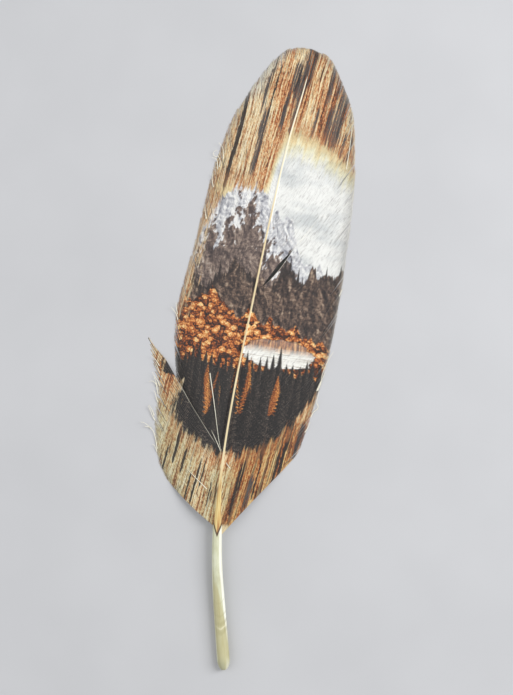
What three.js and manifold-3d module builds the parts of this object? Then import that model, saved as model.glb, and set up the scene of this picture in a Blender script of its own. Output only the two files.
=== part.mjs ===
// A large printed wing feather, lying face up on a level surface.
// It grew as one piece: a shaft that is a bare quill below and a thin rachis above,
// with a vane of overlapping barb locks on each side of the rachis.
// Millimetres. +Z is up, +Y runs from the quill's end to the tip, and +X is to the
// right, seen from above. The origin is on the surface that the feather lies on,
// under the middle of its outline.
import * as THREE from "three";
import { mergeVertices } from "three/addons/utils/BufferGeometryUtils.js";
import Module from "manifold-3d";

// Driving dimensions of the shaft: it arches up from the quill's end and down to the tip.
// Each row is y, x, the height of the shaft's middle, and its half width.
const SHAFT = [
  [-157.2, 13.4, 2.9, 3.15],
  [-128.4, 7.3, 3.6, 2.95],
  [-102.8, 2.4, 4.7, 2.55],
  [-78.0, -0.3, 6.0, 2.2],
  [-51.8, -1.4, 7.3, 1.95],
  [-16.0, -0.4, 8.4, 1.6],
  [27.0, 2.6, 8.5, 1.25],
  [74.0, 6.0, 6.6, 0.95],
  [108.0, 9.3, 4.2, 0.75],
  [134.0, 13.2, 2.1, 0.6],
  [155.0, 16.0, 0.8, 0.55],
];
const SHAFT_SIDES = 10;
const SHAFT_RINGS = 30;
// The quill's blunt end: how far each ring stands from the end, and its share of the half width.
const QUILL_END = [
  [0, 0],
  [0, 0.45],
  [2.0, 0.8],
  [4.4, 1],
];

// Driving dimensions of the vanes. Each rib is one barb: the y where it leaves the shaft, the x and y
// of its tip, and how far its middle swings out, as a share of its length.
// A split in the vane is where one panel ends and the next begins.
const PANELS = [
  {
    side: 1,
    locks: 15,
    slit: "end",
    ribs: [
      [-92.6, 27.9, -56.1, -0.008],
      [-90.2, 31.6, -50.8, 0],
      [-87.4, 34.9, -45.6, 0.01],
      [-83, 37.0, -38.2, 0.025],
      [-76, 39.1, -26.7, 0.04],
      [-62, 42.3, -7.1, 0.05],
      [-48, 44.6, 12.4, 0.05],
      [-28, 45.6, 35.8, 0.04],
      [-2, 46.0, 63.0, 0.025],
      [18, 45.7, 85.1, 0.015],
      [30, 44.5, 99.2, 0.01],
    ],
  },
  {
    side: 1,
    locks: 14,
    slit: "start",
    ribs: [
      [30.4, 44.4, 99.8, 0.01],
      [54, 40.1, 125.9, 0.03],
      [74, 32.0, 142.9, 0.05],
      [95, 24.4, 154.0, 0.05],
      [115, 19.1, 155.8, 0.04],
      [133, 16.8, 156.5, 0.02],
      [153, 15.4, 156.8, 0.01],
    ],
  },
  {
    side: -1,
    locks: 8,
    ribs: [
      [-87, -28.9, -65.8, 0.03],
      [-81, -34.8, -55.5, 0.05],
      [-73, -37.4, -42.7, 0.05],
      [-66, -38.1, -31.7, 0.04],
      [-58, -39.2, -20.2, 0.03],
      [-55, -42.7, -9.1, 0.01],
      [-53, -45.5, 1.6, 0],
    ],
  },
  {
    side: -1,
    locks: 1,
    ribs: [
      [-53, -43.6, -1.0, 0],
      [-50.6, -37.7, -6.1, 0.01],
    ],
  },
  {
    side: -1,
    locks: 22,
    ribs: [
      [-50.8, -30.3, -15.9, 0.01],
      [-46, -32.7, -2.7, 0.03],
      [-42, -34.0, 5.7, 0.04],
      [-38, -34.7, 15.7, 0.05],
      [-18, -33.0, 34.1, 0.05],
      [3, -30.1, 52.7, 0.05],
      [23, -27.9, 75.2, 0.05],
      [44, -24.9, 96.3, 0.05],
      [64, -19.9, 117.6, 0.05],
      [84, -12.5, 133.6, 0.05],
      [102, -5.3, 146.4, 0.04],
      [118, 1.2, 154.1, 0.03],
      [133, 7.3, 156.7, 0.02],
      [153, 14.2, 157.2, 0.01],
    ],
  },
];
const ELBOW_HEIGHT = 0.75; // the barb's middle guide point, as a share of its root's height
const EDGE_DIP = 0.8; // an edge is aimed this far under the surface, so that its tip lies flat on it
const ROOT_LIFT = 0.3; // a barb's root above the shaft's middle, in half widths
const VANE_THICKNESS = 0.7;
const EDGE_THICKNESS = 0.45;
const PLEAT = 0.45; // each lock's upper side stands this much above the next one's lower side
const NOTCH = 0.022; // how much longer a lock is on its upper side, as a share of its length
const LOCK_COLUMNS = [0.02, 0.5, 0.98]; // where a lock is drawn, from its lower to its upper side
const BARB_ROWS = [0, 0.1, 0.22, 0.36, 0.56, 0.77, 0.91, 1]; // from the shaft to the edge
const SLIT_HALF_WIDTH = 2.3; // the open slit in the right vane
const SLIT_MIDDLE = 0.22; // where it is widest, from the shaft to the edge
const SLIT_SPREAD = 0.09;
const SLIT_OVERLAP = 0.65; // past the slit its two sides meet again

// The value of a table's column at y, on a smooth curve through the table's rows.
function smooth(table, y, column) {
  const last = table.length - 1;
  let i = 0;
  while (i < last - 1 && y > table[i + 1][0]) i++;
  const slope = (k) => {
    const a = table[Math.max(k - 1, 0)];
    const b = table[Math.min(k + 1, last)];
    return (b[column] - a[column]) / (b[0] - a[0]);
  };
  const span = table[i + 1][0] - table[i][0];
  const s = (y - table[i][0]) / span;
  const [h1, h2] = [s * s * (3 - 2 * s), s * s * (s - 1)];
  const h0 = s * (1 - s) * (1 - s);
  return (
    table[i][column] * (1 - h1) +
    table[i + 1][column] * h1 +
    span * (h0 * slope(i) + h2 * slope(i + 1))
  );
}

const shaftMiddle = (y) =>
  new THREE.Vector3(smooth(SHAFT, y, 1), y, smooth(SHAFT, y, 2));
const shaftHalfWidth = (y) => smooth(SHAFT, y, 3);

// The shaft is turned on a lathe as a straight taper, then each ring is moved onto the curve.
function shaftGeometry() {
  const [start, end] = [SHAFT[0][0], SHAFT[SHAFT.length - 1][0]];
  const profile = QUILL_END.map(
    ([away, share]) =>
      new THREE.Vector2(share * shaftHalfWidth(start + away), start + away),
  );
  const first = start + QUILL_END[QUILL_END.length - 1][0];
  for (let i = 1; i <= SHAFT_RINGS; i++) {
    const y = first + ((end - first) * i) / SHAFT_RINGS;
    profile.push(new THREE.Vector2(shaftHalfWidth(y), y));
  }
  profile.push(new THREE.Vector2(0, end));
  const geometry = new THREE.LatheGeometry(profile, SHAFT_SIDES);
  const position = geometry.getAttribute("position");
  for (let i = 0; i < position.count; i++) {
    const y = position.getY(i);
    const middle = shaftMiddle(y);
    const lean = smooth(SHAFT, Math.min(y + 1, end), 1) - smooth(SHAFT, y, 1);
    const across = position.getX(i);
    position.setXYZ(
      i,
      middle.x + across,
      y - across * lean,
      Math.max(0, middle.z + position.getZ(i)),
    );
  }
  return geometry;
}

// A point of the vane's middle surface. rootY is where its barb leaves the shaft,
// and t runs from 0 at the shaft to 1 at the edge.
function onBarb(panel, rootY, t) {
  const root = shaftMiddle(rootY);
  root.z += ROOT_LIFT * shaftHalfWidth(rootY);
  const edge = new THREE.Vector3(
    smooth(panel.ribs, rootY, 1),
    smooth(panel.ribs, rootY, 2),
    -EDGE_DIP,
  );
  const chord = edge.clone().sub(root);
  const outwards = new THREE.Vector3(chord.y, -chord.x, 0).multiplyScalar(
    panel.side * 2 * smooth(panel.ribs, rootY, 3),
  );
  const elbow = root.clone().lerp(edge, 0.5).add(outwards);
  elbow.z = root.z * ELBOW_HEIGHT;
  return new THREE.QuadraticBezierCurve3(root, elbow, edge).getPoint(t);
}

// How far a barb beside the slit stands back from it, at t along the barb.
const slitGap = (t) =>
  SLIT_HALF_WIDTH * Math.exp(-(((t - SLIT_MIDDLE) / SLIT_SPREAD) ** 2)) - SLIT_OVERLAP;

// One panel of the vane: a grid of barbs with a top and an underside, pleated at each lock.
function panelGeometry(panel) {
  const { side, locks, slit, ribs } = panel;
  const [from, to] = [ribs[0][0], ribs[ribs.length - 1][0]];
  const columns = [];
  for (let lock = 0; lock < locks; lock++)
    for (const share of LOCK_COLUMNS)
      columns.push({ rootY: from + ((to - from) * (lock + share)) / locks, share });
  if (slit) columns[slit === "end" ? columns.length - 1 : 0].slit = slit;
  // Seen from above, the right vane's columns run the other way round, so that its faces point out.
  if (side > 0) columns.reverse();
  const [wide, long] = [columns.length - 1, BARB_ROWS.length - 1];
  const geometry = new THREE.BoxGeometry(1, 1, 1, wide, long, 1);
  const position = geometry.getAttribute("position");
  for (let i = 0; i < position.count; i++) {
    const column = columns[Math.round((position.getX(i) + 0.5) * wide)];
    const row = BARB_ROWS[Math.round((position.getY(i) + 0.5) * long)];
    const t = row * (1 + NOTCH * (column.share - 0.5));
    const at = onBarb(panel, column.rootY, t);
    if (column.slit) at.y += (column.slit === "end" ? -1 : 1) * slitGap(t);
    const underside = Math.max(0, at.z - VANE_THICKNESS / 2);
    const pleat = PLEAT * column.share * Math.min(1, 4 * row * (1 - row) + row / 2);
    const top = Math.max(EDGE_THICKNESS, at.z + VANE_THICKNESS / 2) + pleat;
    position.setXYZ(i, at.x, at.y, position.getZ(i) > 0 ? top : underside);
  }
  return geometry;
}

const wasm = await Module();
wasm.setup();

// A closed geometry as a solid that can be joined to another.
function solidOf(geometry) {
  geometry.deleteAttribute("normal");
  geometry.deleteAttribute("uv");
  const merged = mergeVertices(geometry, 1e-4);
  return new wasm.Manifold(
    new wasm.Mesh({
      numProp: 3,
      vertProperties: merged.getAttribute("position").array,
      triVerts: new Uint32Array(merged.index.array),
    }),
  );
}

function geometryOf(solid) {
  const mesh = solid.getMesh();
  return new THREE.BufferGeometry()
    .setAttribute("position", new THREE.BufferAttribute(mesh.vertProperties, 3))
    .setIndex(new THREE.BufferAttribute(mesh.triVerts, 1));
}

// The feather: the vanes' locks are grown together with the shaft that carries them.
const whole = PANELS.reduce(
  (solid, panel) => solid.add(solidOf(panelGeometry(panel))),
  solidOf(shaftGeometry()),
);
const geometry = geometryOf(whole);
geometry.computeVertexNormals();
const printedVane = new THREE.MeshStandardMaterial({
  color: 0x8a6548,
  roughness: 0.75,
  metalness: 0,
  flatShading: true,
});
const feather = new THREE.Mesh(geometry, printedVane);
feather.name = "feather";

const part = new THREE.Group();
part.add(feather);
export default part;
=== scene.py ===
# A large printed wing feather, lying face up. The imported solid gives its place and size. The frame is in
# metres, and +Y runs from the quill's end to the tip and +Z is up. The tables are in millimetres.
import math

import bmesh
import bpy
import numpy as np
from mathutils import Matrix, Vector


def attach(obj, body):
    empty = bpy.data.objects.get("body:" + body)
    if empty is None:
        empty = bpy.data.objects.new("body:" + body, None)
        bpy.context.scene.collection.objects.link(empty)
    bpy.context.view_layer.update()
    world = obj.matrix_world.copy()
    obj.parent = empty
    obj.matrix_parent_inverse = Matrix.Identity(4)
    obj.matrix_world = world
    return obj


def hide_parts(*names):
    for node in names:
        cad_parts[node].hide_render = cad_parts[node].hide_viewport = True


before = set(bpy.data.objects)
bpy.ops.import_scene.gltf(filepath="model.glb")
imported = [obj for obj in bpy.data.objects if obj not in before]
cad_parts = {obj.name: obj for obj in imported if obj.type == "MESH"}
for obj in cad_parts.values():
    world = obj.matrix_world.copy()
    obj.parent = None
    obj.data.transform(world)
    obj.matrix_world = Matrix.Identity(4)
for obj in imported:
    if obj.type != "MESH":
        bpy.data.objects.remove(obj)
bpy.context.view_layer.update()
scene = bpy.context.scene


# The shaft: a bare round quill below, and above it the thin rachis that carries both vanes. It is one
# piece of pale horn with a groove along the rachis' underside. The print runs over its shoulders and
# ends in a V on the quill, and the top of the rachis is left bare as a thin cream line.
MM = 0.001
# Each row is y, x, the height of the shaft's middle, and its half width.
SHAFT = [
    [-157.2, 13.4, 2.9, 3.15],
    [-128.4, 7.3, 3.6, 2.95],
    [-102.8, 2.4, 4.7, 2.55],
    [-78.0, -0.3, 6.0, 2.2],
    [-51.8, -1.4, 7.3, 1.95],
    [-16.0, -0.4, 8.4, 1.6],
    [27.0, 2.6, 8.5, 1.25],
    [74.0, 6.0, 6.6, 0.95],
    [108.0, 9.3, 4.2, 0.75],
    [134.0, 13.2, 2.1, 0.6],
    [155.0, 16.0, 0.8, 0.55],
]
# The quill's end: how far each ring stands from the end, and its share of the half width.
QUILL_END = [
    [1.3, 0], [0.9, 0.14], [0.1, 0.2], [0, 0.38], [0.3, 0.52],
    [1.2, 0.7], [2.2, 0.84], [3.4, 0.95], [4.6, 1],
]
# Half the width of the bare line at each y. The line starts at the V and runs out before the tip.
BARE_LINE = [
    [-92, 1.7], [-79, 1.5], [-70, 1.0], [-62, 0.66], [-45, 0.46],
    [27, 0.43], [76, 0.42], [112, 0.4], [132, 0.34], [141, 0.2], [144, 0],
]
SHAFT_RINGS = 620
SHAFT_SIDES = 44
GROOVE_FROM, GROOVE_FULL = -95, -72
GROOVE_DEPTH, GROOVE_WIDTH = 0.5, 0.34  # shares of the half width
# The shaft isn't quite round. Two faint waves run along it: how high each is, as a share of the half width,
# and the millimetres of shaft that turn it by one radian.
FINE_WAVE, FINE_PITCH = 0.010, 3.1
LONG_WAVE, LONG_PITCH = 0.012, 7.7


def along(table, y, column):
    """A column of a table at y, on a smooth curve through the table's rows."""
    rows = np.array(table, float)
    place, value, y = rows[:, 0], rows[:, column], np.asarray(y, float)
    slope = np.empty(len(rows))
    slope[1:-1] = (value[2:] - value[:-2]) / (place[2:] - place[:-2])
    slope[0] = (value[1] - value[0]) / (place[1] - place[0])
    slope[-1] = (value[-1] - value[-2]) / (place[-1] - place[-2])
    i = np.clip(np.searchsorted(place, y) - 1, 0, len(rows) - 2)
    span = place[i + 1] - place[i]
    s = (y - place[i]) / span
    risen, pull = s * s * (3 - 2 * s), s * (1 - s) * (1 - s)
    return (
        value[i] * (1 - risen) + value[i + 1] * risen
        + span * (pull * slope[i] + s * s * (s - 1) * slope[i + 1])
    )


def ease(low, high, value):
    """0 up to low, 1 from high on, and smooth between them."""
    s = np.clip((np.asarray(value, float) - low) / (high - low), 0, 1)
    return s * s * (3 - 2 * s)


def new_piece(name, mesh, *materials):
    """A shown object of that mesh, at the origin, with smooth faces."""
    piece = bpy.data.objects.new(name, mesh)
    scene.collection.objects.link(piece)
    for material in materials:
        mesh.materials.append(material)
    mesh.polygons.foreach_set("use_smooth", np.ones(len(mesh.polygons), bool))
    return piece


class Wire:
    """A node's output, on which + - * / add the maths nodes. Wire(tree) alone starts a tree."""

    def __init__(self, tree, socket=None):
        self.tree, self.socket = tree, socket

    def node(self, kind, settings=None, inputs=None, output=0):
        """A new node's output. Settings are set first, then the inputs' values or links."""
        made = self.tree.nodes.new(kind)
        for name, value in (settings or {}).items():
            if name == "stops":
                made.color_ramp.elements[1].position = value[-1][0]
                for position, _ in value[1:-1]:
                    made.color_ramp.elements.new(position)
                for stop, (position, colour) in zip(made.color_ramp.elements, value):
                    stop.position, stop.color = position, colour
            else:
                setattr(made, name, value)
        for name, value in (inputs or {}).items():
            socket = made.inputs[name]
            if isinstance(value, Wire):
                self.tree.links.new(value.socket, socket)
            elif socket.type == "VECTOR" and isinstance(value, (int, float)):
                socket.default_value = (value, value, value)
            else:
                socket.default_value = value
        return Wire(self.tree, made.outputs[output] if made.outputs else None)

    def maths(self, operation, *values, output=0):
        """A maths node, for vectors if one of the values is a vector."""
        kinds = [v.socket.type if isinstance(v, Wire) else type(v) for v in values]
        kind = "ShaderNodeVectorMath" if "VECTOR" in kinds or tuple in kinds else "ShaderNodeMath"
        return self.node(kind, {"operation": operation}, dict(enumerate(values)), output)

    def __add__(self, other):
        return self.maths("ADD", self, other)

    def __radd__(self, other):
        return self.maths("ADD", other, self)

    def __sub__(self, other):
        return self.maths("SUBTRACT", self, other)

    def __rsub__(self, other):
        return self.maths("SUBTRACT", other, self)

    def __mul__(self, other):
        return self.maths("MULTIPLY", self, other)

    def __truediv__(self, other):
        return self.maths("DIVIDE", self, other)

    def __abs__(self):
        return self.maths("ABSOLUTE", self)

    def least(self, other):
        return self.maths("MINIMUM", self, other)

    def most(self, other):
        return self.maths("MAXIMUM", self, other)

    def floor(self):
        return self.maths("FLOOR", self)

    def rest(self):
        """What is left above the whole number."""
        return self.maths("FRACT", self)

    def ease(self, low, high):
        """0 up to low, 1 from high on, and smooth between them. Low may be the higher one."""
        settings = {"interpolation_type": "SMOOTHSTEP"}
        return self.node("ShaderNodeMapRange", settings, {"Value": self, "From Min": low, "From Max": high})

    def parts(self):
        split = self.node("ShaderNodeSeparateXYZ", {}, {0: self}).socket.node
        return [Wire(self.tree, output) for output in split.outputs]

    def place(self, x, y, z=0.0):
        return self.node("ShaderNodeCombineXYZ", {}, {0: x, 1: y, 2: z})

    def noise(self, x, y, seed=0.0, detail=2.0, rough=0.5):
        """Smooth noise about 0.5, with grains of about 1 in x and in y."""
        inputs = {"Vector": self.place(x, y, seed), "Scale": 1.0, "Detail": detail, "Roughness": rough}
        return self.node("ShaderNodeTexNoise", {}, inputs)

    def rises(self, x, seed, detail=2.0, rough=0.5):
        """Smooth noise about 0 along a line, with rises of about 1 in x."""
        inputs = {"W": x + seed, "Scale": 1.0, "Detail": detail, "Roughness": rough}
        return self.node("ShaderNodeTexNoise", {"noise_dimensions": "1D"}, inputs) - 0.5

    def dice(self, value):
        """A number from 0 to 1 that any change of value throws again."""
        return self.node("ShaderNodeTexWhiteNoise", {"noise_dimensions": "1D"}, {"W": value})

    def over(self, share, top):
        """This colour with share of another on top."""
        return self.node("ShaderNodeMix", {"data_type": "RGBA"}, {0: share, 6: self, 7: top}, 2)

    def times(self, other):
        """This colour darkened by another colour or by a number."""
        inputs = {0: 1.0, 6: self, 7: other}
        return self.node("ShaderNodeMix", {"data_type": "RGBA", "blend_type": "MULTIPLY"}, inputs, 2)

    def ramp(self, *stops):
        return self.node("ShaderNodeValToRGB", {"stops": list(stops)}, {0: self})


def ink(red, green, blue):
    """A colour from the usual 0 to 255 values, as the shaders take it."""
    shares = (red / 255, green / 255, blue / 255)
    return (*[c / 12.92 if c < 0.04045 else ((c + 0.055) / 1.055) ** 2.4 for c in shares], 1.0)


# The print's inks.
WHITE, COAL = ink(236, 237, 234), ink(33, 29, 30)
UMBER, RUST, ORANGE, TAN = ink(62, 46, 38), ink(142, 80, 42), ink(198, 122, 68), ink(216, 168, 118)
CREAM, PALE = ink(230, 206, 158), ink(240, 228, 194)
WORN_TONES = [
    (0.35, ink(96, 70, 48)), (0.42, ink(158, 118, 78)), (0.48, ink(190, 168, 122)),
    (0.54, ink(198, 190, 148)), (0.64, ink(214, 210, 180)),
]
PALE_TONES = [
    (0.35, ink(112, 78, 56)), (0.42, ink(190, 138, 92)), (0.48, ink(220, 186, 140)),
    (0.54, ink(232, 214, 172)), (0.64, ink(240, 232, 206)),
]
GRAIN_ANGLE = math.radians(7.5)  # the boards' grain, clockwise from +Y
# Charred streaks in the boards: where each is across and along the grain, and its half sizes.
CHARRED = [
    [-4.4, 149, 2.9, 11],
    [-6.2, 136, 2.2, 12],
    [-5.6, 122, 0.9, 9],
    [-9.6, 142, 1.7, 8],
    [8.5, 144, 1.1, 11],
    [12.6, 147, 1.4, 8],
    [16.6, 128, 2.7, 16],
    [12.6, 123, 1.8, 9],
    [-22.2, 131, 0.8, 10],
    [-19.2, 116, 1.7, 7],
    [-18.8, 101, 1.3, 11],
    [-10.7, 125, 1.0, 11],
    [5.4, 122, 0.7, 8],
    [22.0, 115, 0.5, 7],
    [25.4, 114, 0.5, 7],
    [39.6, -34, 1.5, 9],
    [22.0, -65, 1.3, 8],
]
# Cracks between and along the boards, in the same way.
CRACKS = [
    [-30.3, 102, 1.0, 30],
    [-18.1, 133, 0.4, 14],
    [-18.7, -51, 0.75, 10],
    [-13.4, -58, 0.6, 7],
    [-22.6, -60, 0.5, 7],
    [-5.2, -67, 0.55, 13],
    [-2.7, -61, 0.4, 9],
    [-8.3, -70, 0.4, 8],
    [3.3, -71, 0.35, 7],
    [15.8, -66, 0.6, 14],
    [24.4, -58, 0.4, 11],
    [16.9, -58, 0.4, 9],
    [23.3, -41, 0.9, 7],
    [32.3, -50, 0.7, 8],
    [34.4, -45, 0.8, 9],
    [32.4, -36, 0.4, 14],
    [35.3, -30, 0.4, 11],
]
# A spot by the quill that the print left bare: its middle and half sizes.
UNPRINTED = [4.3, -87.6, 3, 3.6]
# The picture: its top over the left vane, its bottom at the shaft, and its left edge across the grain. Then
# the peak, how far its snow comes down, the width of the sky's cream edge, the heights of the ridge's brow
# and of the autumn slope, and the lake's middle and half sizes.
PICTURE_TOP, PICTURE_BOTTOM, PICTURE_LEFT = 84, -50.5, -33.5
PEAK_X, PEAK_Y, SNOW_DEPTH, HALO_WIDTH = -6, 92, 15, 17
BROW_Y, SLOPE_Y = 44, 22
LAKE = [19, 3, 18, 7.5]
# Each row of conifers: its ground's y, the tallest tree, the room for each tree, a seed, and the share of
# golden ones.
CONIFERS = [
    [-6, 11, 3.4, 23.0, 0.0],
    [-17, 19, 5.0, 31.0, 0.45],
    [-30, 29, 8.0, 37.0, 0.3],
    [-46, 43, 15.0, 42.0, 0.0],
]
TIERS = 9  # of boughs on a conifer
SLOPE_STEP = 0.9  # the distance over which a mountainside's slope is measured


def streaks(w, p, q, rows):
    """Above 0 inside the long narrow spots that the rows give, and 1 at their middles."""
    place, lowest = w.place(p, q), None
    for middle_p, middle_q, half_p, half_q in rows:
        scale, shift = (1 / half_p, 1 / half_q, 0), (-middle_p / half_p, -middle_q / half_q, 0)
        away = w.maths("MULTIPLY_ADD", place, scale, shift)
        away = away * away
        away = w.maths("DOT_PRODUCT", away, away, output=1)
        lowest = lowest.least(away) if lowest else away
    return 1 - lowest


def wood(w, p, q):
    """Weathered boards, p millimetres across the grain and q along it: streaks, bleached and charred
    places, cracks and fine dark hairlines."""
    p = p + (w.noise(p * 0.05, q * 0.02, 1.0) - 0.5) * 3
    broad = w.noise(p * 0.16, q * 0.012, 2.0, 2.0)
    fibre = w.noise(p * 0.95, q * 0.035, 3.0, 4.0, 0.66)
    hair = w.noise(p * 2.6, q * 0.12, 4.0, 3.0, 0.6)
    check = w.noise(p * 1.3, q * 0.6, 5.0, 3.0, 0.7)
    low_right = p.ease(6, 18) * q.ease(-16, -36)
    tone = fibre * 0.85 + broad * 0.35 + (check - 0.5) * 0.45 - 0.08 - low_right * 0.02
    warm = tone.ramp((0.35, UMBER), (0.40, RUST), (0.45, ORANGE), (0.49, TAN), (0.54, CREAM), (0.64, PALE))
    worn = tone.ramp(*WORN_TONES)
    pale = tone.ramp(*PALE_TONES)
    low_left = p.ease(2, -12) * q.ease(-20, -40)
    high_left = p.ease(-14, -28) * q.ease(20, 60)
    low_middle = (1 - abs(p - 6) / 11).ease(0, 0.8) * q.ease(-48, -62)
    colour = warm.over(low_left.most(low_middle) * 0.8, worn).over(high_left * 0.85, pale)
    bleached = ((q - 131) * 0.36 - 23.5 - p + (broad - 0.5) * 6).ease(-1.0, 3.5) * q.ease(123, 131)
    colour = colour.over(bleached * (tone - 0.05).ease(0.3, 0.42) * 0.85, ink(230, 227, 208))
    lines = hair.ramp((0.30, ink(70, 54, 48)), (0.40, ink(186, 158, 138)), (0.47, ink(255, 255, 255)))
    colour = colour.times(lines)
    grooves = w.noise(p * 0.85, q * 0.02, 9.8, 3.0, 0.6).ease(0.47, 0.40)
    colour = colour.over(low_right, colour.times(ink(232, 219, 190)))
    colour = colour.over(low_right * grooves * 0.7, ink(72, 52, 40))
    colour = colour.over(check.ease(0.38, 0.31) * 0.75, ink(150, 82, 46))
    splinter = w.noise(p * 2.0, q * 0.06, 9.5, 3.0, 0.65)
    char = streaks(w, p, q, CHARRED).most(-4) + (splinter - 0.5) * 9 + (check - 0.5) * 4
    burnt = fibre.ramp((0.42, ink(56, 54, 56)), (0.55, ink(82, 78, 78)), (0.66, ink(132, 106, 86)))
    colour = colour.over(char.ease(-1.6, 0.3) * 0.45, ink(142, 86, 52))
    colour = colour.over(char.ease(0.0, 0.5) * 0.94, burnt)
    ragged = p + (w.noise(p * 0.5, q * 0.3, 6.0, 3.0) - 0.5) * 1.1
    crack = streaks(w, ragged, q, CRACKS) + (splinter - 0.5) * 2.4
    split = 1 - abs(w.noise(p * 0.36, q * 0.014, 7.0, 1.0) - 0.5) / 0.010
    split = split.ease(0, 0.8) * w.noise(p * 0.2, q * 0.06, 8.0).ease(0.44, 0.54)
    return colour.over(crack.ease(0.0, 0.35).most(split * 0.85) * 0.94, COAL)


def slopes(w, x, y, size, seed):
    """How much of the light from the upper right each place on a mountainside catches, about 0.5."""
    heights = []
    for step in (0.0, SLOPE_STEP):
        ridged = w.noise((x + step) * size, (y + step) * size * 0.6, seed, 7.0, 0.6)
        heights.append(abs(ridged - 0.5))
    return (heights[1] - heights[0]) * 3.2 + 0.5


def conifers(w, x, y, needles, base, tallest, spread, seed, golden):
    """A row of conifers and the ground under them, one in each spread of millimetres, a share of them
    golden. It gives 1 inside them, how lit each place is, and 1 on the golden ones."""
    ground = base + w.rises(x * 0.08, seed) * 14
    row = x / spread + seed * 0.37
    throw, second = w.dice(row.floor() + seed), w.dice(row.floor() + seed + 57.3)
    height = (throw * 0.6 + 0.4) * tallest
    up = (y - ground) / height
    aside = (row.rest() - 0.5 + (second - 0.5) * 0.3) * spread
    tier = (up * TIERS + throw * 3 + aside / spread).rest()
    reach = (1 - up) * (1 - tier * 0.5) * (spread * 0.5) + needles * (spread * 0.25) - abs(aside)
    inside = reach.ease(-0.25, 0.25) * (1 - up).ease(0, 0.03)
    bough = w.noise(x * 0.5, (y + abs(aside) * 0.6) * 1.5, seed + 0.5, 4.0, 0.7) - 0.5
    lit = (aside / spread * 3.0 + 0.35).most(0).least(1) * (1 - tier) + bough * 1.6
    gold = (w.dice(row.floor() + seed + 91.7) + golden).floor()
    return inside.most((ground - y).ease(-0.6, 0.6)), lit, inside * gold


def bright_sky(w, x, y, inside):
    """A bright sky, cream along the picture's edge."""
    haze = w.noise(x * 0.05, y * 0.09, 11.0, 4.0)
    halo = (inside / HALO_WIDTH).ease(0.05, 1)
    sky = halo.ramp((0.0, ink(226, 204, 156)), (0.35, ink(238, 232, 200)), (1.0, WHITE))
    return sky.times(haze.ramp((0.35, ink(224, 227, 230)), (0.55, ink(255, 255, 255))))


def snowy_peak(w, x, y, warp, mist, sponge):
    """A peak's colour, with snow on its upper slopes, and how far each place is below its crest."""
    right = x - PEAK_X
    crest = PEAK_Y - (right * 1.2).most(right * -1.0) + w.rises(x * 0.10, 12.0, 5.0, 0.6) * 26
    below = crest - y
    facing = slopes(w, x + warp, y - warp, 0.055, 16.0)
    stone = (facing + mist * 0.5 + sponge * 0.25).ramp(
        (0.28, ink(54, 48, 50)), (0.46, ink(98, 84, 80)),
        (0.60, ink(150, 132, 120)), (0.78, ink(208, 196, 184)),
    )
    gully = w.noise(x * 0.22 - y * 0.10, y * 0.09 + x * 0.04, 15.0, 5.0, 0.66)
    snow = ((gully - 0.47) * 100 + (facing - 0.5) * 22 - below + SNOW_DEPTH).ease(-1.5, 2.5)
    lit = facing + mist * 0.25
    white = lit.ramp((0.34, ink(132, 134, 144)), (0.5, ink(206, 207, 210)), (0.6, ink(240, 240, 238)))
    return stone.over(snow, white), below


def autumn_crowns(w, x, y, sponge):
    """Round crowns of leaves, each with its own tone, darker where they meet."""
    inputs = {"Vector": w.place(x, y * 1.25), "Scale": 0.4}
    crown = w.node("ShaderNodeTexVoronoi", {}, inputs)
    crown_x, crown_y, _ = w.node("ShaderNodeTexVoronoi", {}, inputs, "Position").parts()
    kind = w.dice(crown_x * 3.1 + crown_y * 5.7)
    leaf = w.noise(x * 1.1, y * 1.1, 18.0, 4.0, 0.75) + kind * 0.34 - crown * 0.30 + sponge * 0.2
    return leaf.ramp(
        (0.34, ink(38, 29, 27)), (0.44, ink(96, 50, 30)), (0.54, ink(182, 96, 44)),
        (0.64, ink(226, 150, 76)), (0.76, ink(250, 220, 158)),
    )


def with_lake(w, x, y, colour):
    """The colour with a pale lake on top, whose far side mirrors the slope."""
    across, up = (x - LAKE[0]) / LAKE[2], (y - LAKE[1]) / LAKE[3]
    shore = (w.noise(x * 0.16, y * 0.4, 19.0, 4.0) - 0.5) * 1.3
    lake = 1 - across * across - up * up + shore
    ripple = w.noise(x * 0.07, y * 1.3, 20.0, 4.0, 0.6)
    water = ripple.ramp((0.32, ink(184, 176, 166)), (0.44, ink(226, 224, 216)), (0.56, ink(244, 244, 239)))
    mirror = w.noise(x * 0.8, y * 0.14, 22.0, 3.0, 0.6)
    mirrored = mirror.ramp((0.38, ink(78, 50, 38)), (0.5, ink(164, 100, 58)), (0.62, ink(226, 178, 120)))
    water = water.over((up + ripple * 0.9).ease(0.45, 1.0) * 0.85, mirrored)
    rim = (1 - abs(lake) / 0.12).ease(0, 1)
    return colour.over(lake.ease(-0.03, 0.05), water).over(rim * 0.55, ink(70, 50, 40))


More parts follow.
